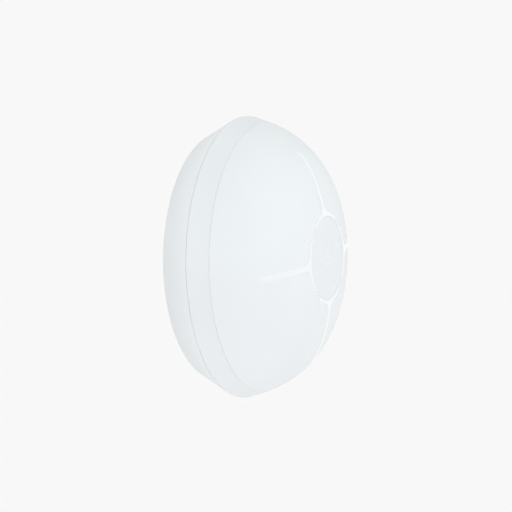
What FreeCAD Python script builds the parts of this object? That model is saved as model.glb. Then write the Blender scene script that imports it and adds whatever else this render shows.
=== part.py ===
import FreeCAD, Part
import math
import os

# Round wall motion sensor, millimetres.
#
# Everything is drawn in a wall frame: X to the right and Y up as seen from the room, Z the depth out of
# the wall, and the origin in the middle of the mounting face. export() turns that frame so that the
# finished part has +Z up and its front facing -Y.

V = FreeCAD.Vector
AXIS = V(0, 0, 1)

# ---- driving dimensions: outside shape (radius, depth) -----------------------------------------
REAR_RADIUS = 36.4            # where the tapered side would meet the mounting face
REAR_FILLET = 2.9             # rounding between the mounting face and the tapered side
SEAM_1_RADIUS = 42.0          # widest place, between rear shell and head
SEAM_1_DEPTH = 10.6
SEAM_2_RADIUS = 39.9          # between the band and the dome
SEAM_2_DEPTH = 16.6
CROWN_RADIUS = 80.0           # shallow middle of the dome
SHOULDER_RADIUS = 28.6        # tighter curve from the crown down to the band
DOME_APEX = 36.1              # depth of the dome on the axis, before the lens hole is cut
SEAM_1_GAP = 0.08             # open line between rear shell and head
SEAM_2_GAP = 0.03             # open line between band and dome
EDGE_BREAK = 0.05             # small chamfer beside each seam

# ---- driving dimensions: front detail ----------------------------------------------------------
CROSS_TURN = 9.4              # the four ribs are turned this far anticlockwise, in degrees
LENS_RADIUS = 12.44
LENS_FACE = 35.05             # depth of the lens face at its edge
LENS_CROWN = 0.45             # the middle of the face stands this far in front of its edge
LENS_HOLE_RADIUS = 12.45
RING_OUTER_RADIUS = 13.2      # outside of the four arcs round the lens
ARC_HALF_ANGLE = 36.0         # each arc reaches this far to either side of its arm
ARM_END_RADIUS = 30.9
ARM_ROOT_WIDTH = 1.4
ARM_TIP_WIDTH = 1.15
ARM_FILLET = 3.3              # flare between arm and arc
RIB_HEIGHT = 0.38             # how far the ribs stand out of the dome
RIB_ROUNDING = 0.12           # radius along the edges of their crowns
SLOT_PLAY = 0.004             # between the ribs and the slots they pass through, a push fit

# ---- driving dimensions: shells ----------------------------------------------------------------
WALL = 2.0                    # dome wall
REAR_FLOOR = 2.2
HEAD_FLOOR_TOP = 12.6         # front face of the head's floor
COLLAR_INNER_RADIUS = 31.8    # the head's rear collar, which plugs into the rear shell
COLLAR_RADIUS = 33.4
COLLAR_END = 2.6              # depth of the collar's rear end
SOCKET_RADIUS = 35.2          # bore of the rear shell that takes the collar
SOCKET_DROP = 0.5             # the socket's rim lies this far behind the outer rim
SEAL_INNER_RADIUS = 36.7
SEAL_OUTER_RADIUS = 38.5
SEAL_DEPTH = 8.3              # floor of the seal's groove
SEAL_PLAY = 0.1
HAIRLINE = 0.03               # left open where two pieces that move apart meet
LIP_INNER_RADIUS = 34.6       # the band's lip, inside the dome's rim
LIP_RADIUS = 36.3
LIP_END = 19.0
RIM_PLAY = 0.2
OVERSHOOT = 1.0               # cutters and fused blocks run this far past a face

# ---- driving dimensions: three-start helical bayonet -------------------------------------------
BAYONET_LEAD = 36.0           # the head backs out this far in one full turn
BAYONET_STARTS = 3
RIB_SPAN = 45.0               # degrees
LUG_SPAN = 28.0
THREAD_HEIGHT = 1.6           # size along the axis of both rib and lug
THREAD_DEPTH = 1.5            # radial size of both
THREAD_PLAY = 0.25            # between rib and lug
RIB_START_DEPTH = 4.55        # depth of the middle of a rib at its lower end
THREAD_ROOT = 0.3             # rib and lug run this far into the wall that carries them

# ---- driving dimensions: back of the rear shell ------------------------------------------------
PAD_INNER_RADIUS = 8.0        # shallow ring in the mounting face, for a sticky pad
PAD_OUTER_RADIUS = 20.0
PAD_RECESS = 0.5
WALL_SCREW_SPACING = 50.0
WALL_SCREW_RADIUS = 2.2
TAMPER_HOLE_RADIUS = 4.5

# ---- driving dimensions: battery and its well in the head's floor ------------------------------
BATTERY_RADIUS = 8.5
BATTERY_BODY_LENGTH = 33.4
BATTERY_NUB_RADIUS = 3.2
BATTERY_NUB_LENGTH = 1.1
BATTERY_UP = -14.0            # the battery lies along X, below the axis
BATTERY_DEPTH = 12.5
WELL_HALF_LENGTH = 19.0
WELL_HALF_WIDTH = 9.0
WELL_TOP = 21.3
WELL_WALL = 1.2
WELL_ROOF = 1.0
CONTACT_THICKNESS = 0.4
CONTACT_WIDTH = 9.0
CONTACT_PLAY = 0.05
TAB_WIDTH = 2.0
TAB_SLOT_WIDTH = 2.6

# ---- driving dimensions: board and fasteners ---------------------------------------------------
BOARD_RADIUS = 30.6
BOARD_REAR = 22.8
BOARD_FRONT = 24.4
BOARD_SCREW_PLACES = ((25.0, 90.0), (26.5, 200.0), (26.5, 340.0))
BOARD_POST_RADIUS = 2.6
BOARD_PILOT_RADIUS = 1.05
BOARD_PILOT_END = 16.5
BOARD_HOLE_RADIUS = 1.2
CASE_SCREW_CIRCLE = 28.0
CASE_SCREW_ANGLES = (30.0, 150.0, 270.0)
CASE_BOSS_RADIUS = 2.6        # bosses inside the dome
CASE_BOSS_END = 20.0
CASE_BOSS_PLAY = 0.6          # between boss and board
CASE_FOOT_RADIUS = 4.2        # towers on the head's floor, wide round the screw's head
CASE_FOOT_END = 15.2
CASE_TOWER_RADIUS = 3.2
CASE_SEAT = 13.2              # where the head of the screw bears
CASE_SEAT_RADIUS = 3.0
CASE_HOLE_RADIUS = 1.45
CASE_PILOT_RADIUS = 1.3
CASE_PILOT_END = 27.6
LED_CIRCLE = 22.0

# ---- driving dimensions: lens retainer and light guide -----------------------------------------
RETAINER_FRONT = 30.6
RETAINER_REAR = 29.5
RETAINER_INNER_RADIUS = 11.6
RETAINER_OUTER_RADIUS = 16.4
RETAINER_SCREW_CIRCLE = 19.5
RETAINER_BOSS_RADIUS = 2.4
RETAINER_HOLE_RADIUS = 1.1
RETAINER_PILOT_RADIUS = 0.95
RETAINER_PILOT_END = 32.7
LENS_FLANGE_RADIUS = 14.3
SPIDER_INNER_RADIUS = 12.6    # ring and arms that join the four ribs under the dome
SPIDER_RING_RADIUS = 16.6
SPIDER_THICKNESS = 1.1
SPIDER_ARM_WIDTH = 2.1
SPIDER_ARM_START = 13.3
SPIDER_ARM_END = 28.4
LIGHT_LEG_RADIUS = 1.0
LIGHT_LEG_END = 26.0

# ---- driving dimensions: tamper plunger and pairing button -------------------------------------
TAMPER_ROD_RADIUS = 2.4
TAMPER_FLANGE_RADIUS = 3.6
TAMPER_FLANGE_REAR = 15.13
TAMPER_FLANGE_FRONT = 16.3
TAMPER_TUBE_RADIUS = 4.7
TAMPER_TUBE_END = 22.3
PILL_RADIUS = 1.9
PILL_THICKNESS = 0.8
PAD_THICKNESS = 0.1           # gold pads on the back of the board
PILL_FRONT = BOARD_REAR - PAD_THICKNESS - 0.02
RUNNING_PLAY = 0.05
PAIR_BUTTON_PLACE = (14.0, 12.0)
PAIR_BUTTON_RADIUS = 2.5
PAIR_BUTTON_REAR = 11.0
SWITCH_SIZE = 6.0
SWITCH_REAR = 19.3
SWITCH_STEM_REAR = 18.6
SWITCH_STEM_FRONT = 20.7
SWITCH_STEM_RADIUS = 1.7
SWITCH_BORE_END = 21.8

# ---- driving dimensions: pyroelectric sensor ---------------------------------------------------
CAN_RADIUS = 4.1
CAN_FRONT = BOARD_FRONT + 4.2
CAN_SHEET = 0.3
CAN_RIM = 0.5                 # the can's rim stands out this far
WINDOW_WIDTH = 4.4
WINDOW_HEIGHT = 3.0
HEADER_FRONT = BOARD_FRONT + 0.9
PIN_CIRCLE = 2.54
PIN_ANGLES = (45.0, 135.0, 270.0)
PIN_RADIUS = 0.23
PIN_HOLE_RADIUS = 0.3

# ---- driving dimensions: radio -----------------------------------------------------------------
RADIO_PLACE = (-12.0, 13.0)
RADIO_SIZE = 14.0
RADIO_FRONT = BOARD_FRONT + 0.8
SHIELD_SHEET = 0.2
ANTENNA_CIRCLE = 29.2
ANTENNA_WIRE = 0.45
ANTENNA_DEPTH = BOARD_FRONT + 1.0
ANTENNA_ANGLES = (48.0, 132.0)

# ---- worked out from the above -----------------------------------------------------------------
TAPER = (SEAM_1_RADIUS - REAR_RADIUS) / SEAM_1_DEPTH
REAR_RIM = SEAM_1_DEPTH - SEAM_1_GAP / 2
HEAD_REAR = SEAM_1_DEPTH + SEAM_1_GAP / 2
BAND_RIM = SEAM_2_DEPTH - SEAM_2_GAP / 2
DOME_RIM = SEAM_2_DEPTH + SEAM_2_GAP / 2
CROWN_DEPTH = DOME_APEX - CROWN_RADIUS
BATTERY_START = -(BATTERY_BODY_LENGTH + BATTERY_NUB_LENGTH) / 2
CONTACT_FACE = WELL_HALF_LENGTH - CONTACT_PLAY - CONTACT_THICKNESS


def shoulder_centre():
    """Centre (radius, depth) of the shoulder arc: it touches the crown arc and passes through seam 2."""
    reach = CROWN_RADIUS - SHOULDER_RADIUS
    across = SEAM_2_RADIUS
    along = SEAM_2_DEPTH - CROWN_DEPTH
    distance = math.hypot(across, along)
    foot = (reach ** 2 - SHOULDER_RADIUS ** 2 + distance ** 2) / (2 * distance)
    offset = math.sqrt(reach ** 2 - foot ** 2)
    radius = (foot * across - offset * along) / distance
    depth = CROWN_DEPTH + (foot * along + offset * across) / distance
    return radius, depth


SHOULDER_AT, SHOULDER_DEPTH = shoulder_centre()


# ---- shape helpers -----------------------------------------------------------------------------
def polar(radius, degrees, depth=0.0):
    angle = math.radians(degrees)
    return V(radius * math.cos(angle), radius * math.sin(angle), depth)


def places(circle, angles):
    """(x, y) of points on a circle about the axis."""
    points = [polar(circle, angle) for angle in angles]
    return [(point.x, point.y) for point in points]


def case_places():
    return places(CASE_SCREW_CIRCLE, CASE_SCREW_ANGLES)


def board_screw_places():
    return [places(circle, [angle])[0] for circle, angle in BOARD_SCREW_PLACES]


def retainer_angles():
    """The retainer's ears lie midway between the four ribs."""
    return [CROSS_TURN + 45.0 + 90.0 * k for k in range(4)]


def retainer_places():
    return places(RETAINER_SCREW_CIRCLE, retainer_angles())


def pin_places():
    return places(PIN_CIRCLE, PIN_ANGLES)


def disc(radius, low, high, centre=(0.0, 0.0)):
    return Part.makeCylinder(radius, high - low, V(centre[0], centre[1], low))


def discs(radius, low, high, centres):
    return [disc(radius, low, high, centre) for centre in centres]


def tube(inner, outer, low, high, centre=(0.0, 0.0)):
    return disc(outer, low, high, centre).cut(disc(inner, low, high, centre))


def block(size_x, size_y, low, high, centre=(0.0, 0.0)):
    corner = V(centre[0] - size_x / 2, centre[1] - size_y / 2, low)
    return Part.makeBox(size_x, size_y, high - low, corner)


def turned(shape, degrees):
    copy = shape.copy()
    copy.rotate(V(0, 0, 0), AXIS, degrees)
    return copy


def around(shape, count, first=0.0):
    return [turned(shape, first + 360.0 * k / count) for k in range(count)]


def fused(shapes):
    shapes = list(shapes)
    return shapes[0].fuse(shapes[1:]).removeSplitter()


def spun(edges):
    """Full turn of a closed outline given as edges in the plane of radius (X) and depth (Z)."""
    face = Part.Face(Part.Wire(Part.__sortEdges__(edges)))
    return face.revolve(V(0, 0, 0), AXIS, 360)


def straight_edges(points):
    pairs = zip(points, points[1:] + points[:1])
    return [Part.makeLine(V(a[0], 0, a[1]), V(b[0], 0, b[1])) for a, b in pairs]


def turned_body(points):
    return spun(straight_edges(points))


def arc_about(centre, radius, start_degrees, end_degrees):
    """Arc in the plane of radius and depth; angles are from the radius direction towards the front."""
    def at(degrees):
        angle = math.radians(degrees)
        return V(centre[0] + radius * math.cos(angle), 0, centre[1] + radius * math.sin(angle))
    middle = (start_degrees + end_degrees) / 2
    return Part.Arc(at(start_degrees), at(middle), at(end_degrees)).toShape()


def first_end(edge):
    return edge.valueAt(edge.FirstParameter)


def last_end(edge):
    return edge.valueAt(edge.LastParameter)


def dome_solid(inset, floor):
    """Everything under the dome's surface moved in by inset, and in front of the plane at depth floor."""
    shoulder = SHOULDER_RADIUS - inset
    crown = CROWN_RADIUS - inset
    start = math.degrees(math.asin((floor - SHOULDER_DEPTH) / shoulder))
    meet = math.degrees(math.atan2(SHOULDER_DEPTH - CROWN_DEPTH, SHOULDER_AT))
    side = arc_about((SHOULDER_AT, SHOULDER_DEPTH), shoulder, start, meet)
    top = arc_about((0.0, CROWN_DEPTH), crown, meet, 90.0)
    apex = V(0, 0, CROWN_DEPTH + crown)
    middle = V(0, 0, floor)
    return spun([side, top, Part.makeLine(apex, middle), Part.makeLine(middle, first_end(side))])


def dome_slab(upper_inset, lower_inset, floor):
    return dome_solid(upper_inset, floor).cut(dome_solid(lower_inset, floor - OVERSHOOT))


def helical_strip(inner, outer, start_depth, start_angle, span):
    """Strip of the bayonet thread; start_depth is the middle of its section at its lower end."""
    rise = BAYONET_LEAD * span / 360.0
    path = Part.Wire(Part.makeHelix(BAYONET_LEAD, rise, (inner + outer) / 2).Edges)
    half = THREAD_HEIGHT / 2
    corners = [V(inner, 0, -half), V(outer, 0, -half), V(outer, 0, half), V(inner, 0, half)]
    section = Part.makePolygon(corners + corners[:1])
    strip = path.makePipeShell([section], True, True)
    strip.translate(V(0, 0, start_depth))
    return turned(strip, start_angle)


def coil(radius, wire_radius, low, high, half_turns):
    """Wire spring of half-circle bends whose planes lean in turn, so that each bend runs on into the next."""
    rise = (high - low) / half_turns
    bends = []
    for k in range(half_turns):
        side = 1 if k % 2 == 0 else -1
        start = V(side * radius, 0, low + k * rise)
        lean = V(side * rise / 2, 0, radius)
        wire_end = Part.Face(Part.Wire(Part.makeCircle(wire_radius, start, V(0, 1, 0))))
        bends.append(wire_end.revolve(V(0, 0, start.z + rise / 2), lean, 180))
    return fused(bends)


def screw(head_outside, head_seat, head_radius, shank_radius, tip):
    """Pan head screw on the axis with a cross recess in head_outside; tip is the depth of its end."""
    head = disc(head_radius, min(head_outside, head_seat), max(head_outside, head_seat))
    shank = disc(shank_radius, min(head_seat, tip), max(head_seat, tip))
    recess_width = head_radius * 0.28
    recess_depth = abs(head_seat - head_outside) / 2
    low = min(head_outside, head_outside + math.copysign(recess_depth, head_seat - head_outside))
    bar = block(head_radius * 1.1, recess_width, low, low + recess_depth)
    return fused([head, shank]).cut(fused([bar, turned(bar, 90)]))


def copies_at(shape, centres):
    copies = []
    for x, y in centres:
        copy = shape.copy()
        copy.translate(V(x, y, 0))
        copies.append(copy)
    return Part.makeCompound(copies)


# ---- the anchor-shaped ribs --------------------------------------------------------------------
def anchor_outline(grow):
    """Flat outline of one rib along +X, every side moved out by grow."""
    inner = LENS_HOLE_RADIUS - grow
    outer = RING_OUTER_RADIUS + grow
    half_angle = ARC_HALF_ANGLE + math.degrees(grow / RING_OUTER_RADIUS)
    tip_half = ARM_TIP_WIDTH / 2 + grow
    root_half = ARM_ROOT_WIDTH / 2 + grow
    tip_x = ARM_END_RADIUS + grow
    fillet = ARM_FILLET - grow
    side_end = tip_x - tip_half
    slope = (tip_half - root_half) / (side_end - outer)
    lift = root_half - slope * outer + fillet * math.hypot(1.0, slope)
    # fillet circle: its centre is outer + fillet from the axis, and fillet above the arm's side
    reach = outer + fillet
    a = 1.0 + slope ** 2
    b = 2.0 * slope * lift
    c = lift ** 2 - reach ** 2
    centre_x = (-b + math.sqrt(b ** 2 - 4.0 * a * c)) / (2.0 * a)
    centre = V(centre_x, slope * centre_x + lift, 0)
    on_ring = centre * (outer / reach)
    normal = V(slope, -1.0, 0) * (1.0 / math.hypot(1.0, slope))
    on_arm = centre + normal * fillet
    toward_corner = (on_ring + on_arm) * 0.5 - centre
    bulge = centre + toward_corner * (fillet / toward_corner.Length)

    def mirrored(point):
        return V(point.x, -point.y, 0)

    ring_angle = math.degrees(math.atan2(centre.y, centre.x))
    ring_middle = polar(outer, (half_angle + ring_angle) / 2)
    ring_end = polar(outer, half_angle)
    inner_end = polar(inner, half_angle)
    side_tip = V(side_end, tip_half, 0)
    edges = [
        Part.Arc(inner_end, V(inner, 0, 0), mirrored(inner_end)).toShape(),
        Part.Arc(side_tip, V(tip_x, 0, 0), mirrored(side_tip)).toShape(),
    ]
    for side in (lambda point: point, mirrored):
        edges.append(Part.makeLine(side(inner_end), side(ring_end)))
        edges.append(Part.Arc(side(ring_end), side(ring_middle), side(on_ring)).toShape())
        edges.append(Part.Arc(side(on_ring), side(bulge), side(on_arm)).toShape())
        edges.append(Part.makeLine(side(on_arm), side(side_tip)))
    return Part.Face(Part.Wire(Part.__sortEdges__(edges)))


def four_anchors(grow, low, high):
    face = anchor_outline(grow)
    face.translate(V(0, 0, low))
    return Part.makeCompound(around(face.extrude(V(0, 0, high - low)), 4, CROSS_TURN))


def rounded_crown(anchor):
    """Round the edges where a rib's sides meet its curved front."""
    front_faces = []
    for face in anchor.Faces:
        u_low, u_high, v_low, v_high = face.ParameterRange
        if face.normalAt((u_low + u_high) / 2, (v_low + v_high) / 2).z > 0.5:
            front_faces.append(face)
    rim = []
    for face in front_faces:
        for edge in face.Edges:
            owners = [other for other in front_faces if any(edge.isSame(e) for e in other.Edges)]
            if len(owners) == 1:
                rim.append(edge)
    return anchor.makeFillet(RIB_ROUNDING, rim)


# ---- rear shell and seal -----------------------------------------------------------------------
def make_rear_shell():
    lean = math.degrees(math.atan(TAPER))
    fillet_radius_at = REAR_RADIUS + TAPER * REAR_FILLET - REAR_FILLET / math.cos(math.radians(lean))
    corner = arc_about((fillet_radius_at, REAR_FILLET), REAR_FILLET, -90.0, -lean)
    rim_radius = REAR_RADIUS + TAPER * REAR_RIM
    points = [
        V(rim_radius - TAPER * EDGE_BREAK, 0, REAR_RIM - EDGE_BREAK),
        V(rim_radius - EDGE_BREAK, 0, REAR_RIM),
        V(SEAL_OUTER_RADIUS + SEAL_PLAY, 0, REAR_RIM),
        V(SEAL_OUTER_RADIUS + SEAL_PLAY, 0, SEAL_DEPTH),
        V(SEAL_INNER_RADIUS - SEAL_PLAY, 0, SEAL_DEPTH),
        V(SEAL_INNER_RADIUS - SEAL_PLAY, 0, REAR_RIM - SOCKET_DROP),
        V(SOCKET_RADIUS, 0, REAR_RIM - SOCKET_DROP),
        V(SOCKET_RADIUS, 0, REAR_FLOOR),
        V(TAMPER_HOLE_RADIUS, 0, REAR_FLOOR),
        V(TAMPER_HOLE_RADIUS, 0, 0),
        V(PAD_INNER_RADIUS, 0, 0),
        V(PAD_INNER_RADIUS, 0, PAD_RECESS),
        V(PAD_OUTER_RADIUS, 0, PAD_RECESS),
        V(PAD_OUTER_RADIUS, 0, 0),
        first_end(corner),
    ]
    edges = [corner, Part.makeLine(last_end(corner), points[0])]
    edges += [Part.makeLine(a, b) for a, b in zip(points, points[1:])]
    shell = spun(edges)
    rib = helical_strip(SOCKET_RADIUS - THREAD_DEPTH, SOCKET_RADIUS + THREAD_ROOT, RIB_START_DEPTH, 0.0,
                        RIB_SPAN)
    screw_centres = [(-WALL_SCREW_SPACING / 2, 0.0), (WALL_SCREW_SPACING / 2, 0.0)]
    screw_holes = discs(WALL_SCREW_RADIUS, -OVERSHOOT, REAR_FLOOR + OVERSHOOT, screw_centres)
    return fused([shell] + around(rib, BAYONET_STARTS)).cut(screw_holes)


def make_seal_ring():
    """Rubber ring with a rounded front, standing in the rear shell's groove."""
    middle = (SEAL_INNER_RADIUS + SEAL_OUTER_RADIUS) / 2
    half = (SEAL_OUTER_RADIUS - SEAL_INNER_RADIUS) / 2
    crest = arc_about((middle, HEAD_REAR - HAIRLINE - half), half, 0.0, 180.0)
    foot = SEAL_DEPTH + HAIRLINE
    inner_foot = V(SEAL_INNER_RADIUS, 0, foot)
    outer_foot = V(SEAL_OUTER_RADIUS, 0, foot)
    return spun([
        crest,
        Part.makeLine(last_end(crest), inner_foot),
        Part.makeLine(inner_foot, outer_foot),
        Part.makeLine(outer_foot, first_end(crest)),
    ])


# ---- the head's chassis ------------------------------------------------------------------------
def well_box(margin, low, high):
    length = 2 * (WELL_HALF_LENGTH + margin)
    width = 2 * (WELL_HALF_WIDTH + margin)
    return block(length, width, low, high, (0.0, BATTERY_UP))


def tab_slots(low, high):
    """Slots at both ends of the well for the battery contacts' tabs."""
    slots = []
    for side in (-1, 1):
        centre = (side * (WELL_HALF_LENGTH - CONTACT_THICKNESS), BATTERY_UP)
        slots.append(block(2 * CONTACT_THICKNESS, TAB_SLOT_WIDTH, low, high, centre))
    return slots


def head_tub():
    """Band, floor, rear collar and front lip in one turned outline."""
    slant = (SEAM_2_RADIUS - SEAM_1_RADIUS) / (SEAM_2_DEPTH - SEAM_1_DEPTH)
    rear_radius = SEAM_1_RADIUS + slant * (HEAD_REAR - SEAM_1_DEPTH)
    front_radius = SEAM_1_RADIUS + slant * (BAND_RIM - SEAM_1_DEPTH)
    return turned_body([
        (0.0, HEAD_REAR),
        (COLLAR_INNER_RADIUS, HEAD_REAR),
        (COLLAR_INNER_RADIUS, COLLAR_END),
        (COLLAR_RADIUS, COLLAR_END),
        (COLLAR_RADIUS, HEAD_REAR),
        (rear_radius - EDGE_BREAK, HEAD_REAR),
        (rear_radius + slant * EDGE_BREAK, HEAD_REAR + EDGE_BREAK),
        (front_radius - slant * EDGE_BREAK, BAND_RIM - EDGE_BREAK),
        (front_radius - EDGE_BREAK, BAND_RIM),
        (LIP_RADIUS, BAND_RIM),
        (LIP_RADIUS, LIP_END),
        (LIP_INNER_RADIUS, LIP_END),
        (LIP_INNER_RADIUS, BAND_RIM - WALL),
        (rear_radius - 1.5 * WALL, HEAD_FLOOR_TOP),
        (0.0, HEAD_FLOOR_TOP),
    ])


def bayonet_lugs():
    """Each lug lies under the middle of a rib, with THREAD_PLAY between them."""
    offset = (RIB_SPAN - LUG_SPAN) / 2
    start_depth = RIB_START_DEPTH - THREAD_HEIGHT - THREAD_PLAY + BAYONET_LEAD * offset / 360.0
    lug = helical_strip(COLLAR_RADIUS - THREAD_ROOT, COLLAR_RADIUS + THREAD_DEPTH, start_depth, offset,
                        LUG_SPAN)
    return around(lug, BAYONET_STARTS)


def make_mid_housing():
    root = HEAD_FLOOR_TOP - OVERSHOOT
    below = HEAD_REAR - OVERSHOOT
    added = [head_tub()] + bayonet_lugs()
    added.append(well_box(WELL_WALL, root, WELL_TOP + WELL_ROOF))
    added.append(disc(TAMPER_TUBE_RADIUS, root, TAMPER_TUBE_END))
    added += discs(BOARD_POST_RADIUS, root, BOARD_REAR, board_screw_places())
    added += discs(CASE_FOOT_RADIUS, root, CASE_FOOT_END, case_places())
    added += discs(CASE_TOWER_RADIUS, root, CASE_BOSS_END - RUNNING_PLAY, case_places())

    cuts = [well_box(0.0, below, WELL_TOP)]
    cuts.append(disc(TAMPER_FLANGE_RADIUS + RUNNING_PLAY, HEAD_FLOOR_TOP, BOARD_REAR))
    cuts.append(disc(TAMPER_ROD_RADIUS + RUNNING_PLAY, below, HEAD_FLOOR_TOP))
    button_hole = PAIR_BUTTON_RADIUS + RUNNING_PLAY
    cuts.append(disc(button_hole, below, HEAD_FLOOR_TOP + OVERSHOOT, PAIR_BUTTON_PLACE))
    cuts += tab_slots(WELL_TOP - OVERSHOOT, WELL_TOP + WELL_ROOF + OVERSHOOT)
    cuts += discs(BOARD_PILOT_RADIUS, BOARD_PILOT_END, BOARD_REAR + OVERSHOOT, board_screw_places())
    cuts += discs(CASE_SEAT_RADIUS, below, CASE_SEAT, case_places())
    cuts += discs(CASE_HOLE_RADIUS, below, CASE_BOSS_END + OVERSHOOT, case_places())
    return fused(added).cut(cuts)


# ---- dome, light guide, lens -------------------------------------------------------------------
def make_front_dome():
    step_radius = LIP_RADIUS + RIM_PLAY
    step_end = SHOULDER_DEPTH + math.sqrt((SHOULDER_RADIUS - WALL) ** 2 - (step_radius - SHOULDER_AT) ** 2)
    hollow = [dome_solid(WALL, step_end), disc(step_radius, DOME_RIM - OVERSHOOT, step_end)]
    shell = dome_solid(0.0, DOME_RIM).cut(hollow)
    rim_radius = SHOULDER_AT + math.sqrt(SHOULDER_RADIUS ** 2 - (DOME_RIM - SHOULDER_DEPTH) ** 2)
    rim_break = turned_body([
        (rim_radius - EDGE_BREAK, DOME_RIM),
        (rim_radius + OVERSHOOT, DOME_RIM),
        (rim_radius + OVERSHOOT, DOME_RIM + OVERSHOOT + EDGE_BREAK),
    ])
    bosses = discs(CASE_BOSS_RADIUS, CASE_BOSS_END, DOME_APEX, case_places())
    bosses += discs(RETAINER_BOSS_RADIUS, RETAINER_FRONT, DOME_APEX, retainer_places())
    bosses = [boss.common(dome_solid(WALL / 2, DOME_RIM)) for boss in bosses]

    lens_hole = disc(LENS_HOLE_RADIUS, RETAINER_FRONT - OVERSHOOT, DOME_APEX + OVERSHOOT)
    hole_edge = CROWN_DEPTH + math.sqrt(CROWN_RADIUS ** 2 - LENS_HOLE_RADIUS ** 2)
    hole_break = Part.makeCone(LENS_HOLE_RADIUS, LENS_HOLE_RADIUS + OVERSHOOT, OVERSHOOT,
                               V(0, 0, hole_edge - 2 * EDGE_BREAK))
    cuts = [rim_break, lens_hole, hole_break]
    cuts += four_anchors(SLOT_PLAY, BOARD_FRONT, DOME_APEX + OVERSHOOT).Solids
    cuts += discs(CASE_PILOT_RADIUS, CASE_BOSS_END - OVERSHOOT, CASE_PILOT_END, case_places())
    cuts += discs(RETAINER_PILOT_RADIUS, RETAINER_FRONT - OVERSHOOT, RETAINER_PILOT_END, retainer_places())
    return fused([shell] + bosses).cut(cuts)


def make_light_guide():
    """Four anchors that pass through the dome, joined under it by a spider, with a leg over each lamp."""
    low = BOARD_REAR
    high = DOME_APEX + OVERSHOOT
    top = WALL + SLOT_PLAY
    overlap = SPIDER_THICKNESS / 4
    square_anchors = dome_slab(-RIB_HEIGHT, top + overlap, low).common(four_anchors(0.0, low, high))
    anchors = [rounded_crown(anchor) for anchor in square_anchors.Solids]
    arm_length = SPIDER_ARM_END - SPIDER_ARM_START
    arm = block(arm_length, SPIDER_ARM_WIDTH, low, high, (SPIDER_ARM_START + arm_length / 2, 0.0))
    plan = fused([tube(SPIDER_INNER_RADIUS, SPIDER_RING_RADIUS, low, high)] + around(arm, 4, CROSS_TURN))
    spider = dome_slab(top, top + SPIDER_THICKNESS, low).common(plan)
    leg = disc(LIGHT_LEG_RADIUS, LIGHT_LEG_END, high, (LED_CIRCLE, 0.0))
    legs = dome_solid(top + overlap, low).common(Part.makeCompound(around(leg, 4, CROSS_TURN)))
    return fused([spider, legs] + anchors)


def make_lens_disc():
    """Thin cup: slightly crowned face, skirt and flange, with stepped rings behind the face."""
    face_back = LENS_FACE - 0.9
    skirt_inside = LENS_RADIUS - 0.8
    flange_front = RETAINER_FRONT + 0.9
    edge = 0.05
    outline = [
        (0.0, face_back),
        (skirt_inside, face_back),
        (skirt_inside, RETAINER_FRONT),
        (LENS_FLANGE_RADIUS, RETAINER_FRONT),
        (LENS_FLANGE_RADIUS, flange_front),
        (LENS_RADIUS, flange_front),
        (LENS_RADIUS, LENS_FACE - edge),
    ]
    points = [V(radius, 0, depth) for radius, depth in outline]
    reach = LENS_RADIUS - edge
    bend = (reach ** 2 + LENS_CROWN ** 2) / (2 * LENS_CROWN)
    spread = math.degrees(math.asin(reach / bend))
    face = arc_about((0.0, LENS_FACE + LENS_CROWN - bend), bend, 90.0 - spread, 90.0)
    edges = [face, Part.makeLine(points[-1], first_end(face)), Part.makeLine(last_end(face), points[0])]
    edges += [Part.makeLine(a, b) for a, b in zip(points, points[1:])]
    lens = spun(edges)
    ring_count = 8
    ring_step = (skirt_inside - OVERSHOOT) / ring_count
    groove_depth = 0.3
    grooves = []
    for k in range(1, ring_count + 1):
        radius = k * ring_step
        grooves.append(turned_body([
            (radius - ring_step * 0.8, face_back),
            (radius, face_back),
            (radius, face_back + groove_depth),
        ]))
    return lens.cut(grooves)


def make_lens_retainer():
    ring = tube(RETAINER_INNER_RADIUS, RETAINER_OUTER_RADIUS, RETAINER_REAR, RETAINER_FRONT)
    ears = discs(RETAINER_BOSS_RADIUS, RETAINER_REAR, RETAINER_FRONT, retainer_places())
    length = 4.0
    width = 2 * RETAINER_BOSS_RADIUS
    centre = (RETAINER_SCREW_CIRCLE - length / 2, 0.0)
    bridge = block(length, width, RETAINER_REAR, RETAINER_FRONT, centre)
    bridges = around(bridge, 4, retainer_angles()[0])
    holes = discs(RETAINER_HOLE_RADIUS, RETAINER_REAR - OVERSHOOT, RETAINER_FRONT + OVERSHOOT,
                  retainer_places())
    return fused([ring] + ears + bridges).cut(holes)


def make_retainer_screws():
    tip = RETAINER_PILOT_END - 0.2
    return copies_at(screw(RETAINER_REAR - 1.3, RETAINER_REAR, 1.9, 0.9, tip), retainer_places())


# ---- sensor ------------------------------------------------------------------------------------
def make_sensor_shroud():
    """Funnel that stands on the board round the can and opens towards the lens."""
    foot = 5.2
    mouth = 10.6
    sheet = 0.8
    end = RETAINER_REAR - 0.2
    return turned_body([
        (foot, BOARD_FRONT),
        (foot + sheet, BOARD_FRONT),
        (mouth + sheet, end),
        (mouth, end),
    ])


def make_pir_can():
    rim_front = BOARD_FRONT + 0.4
    cup = turned_body([
        (CAN_RADIUS - CAN_SHEET, BOARD_FRONT),
        (CAN_RADIUS + CAN_RIM, BOARD_FRONT),
        (CAN_RADIUS + CAN_RIM, rim_front),
        (CAN_RADIUS, rim_front),
        (CAN_RADIUS, CAN_FRONT - CAN_SHEET),
        (CAN_RADIUS - CAN_SHEET, CAN_FRONT),
        (0.0, CAN_FRONT),
        (0.0, CAN_FRONT - CAN_SHEET),
        (CAN_RADIUS - CAN_SHEET, CAN_FRONT - CAN_SHEET),
    ])
    return cup.cut(block(WINDOW_WIDTH, WINDOW_HEIGHT, CAN_FRONT - OVERSHOOT, CAN_FRONT + OVERSHOOT))


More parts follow.
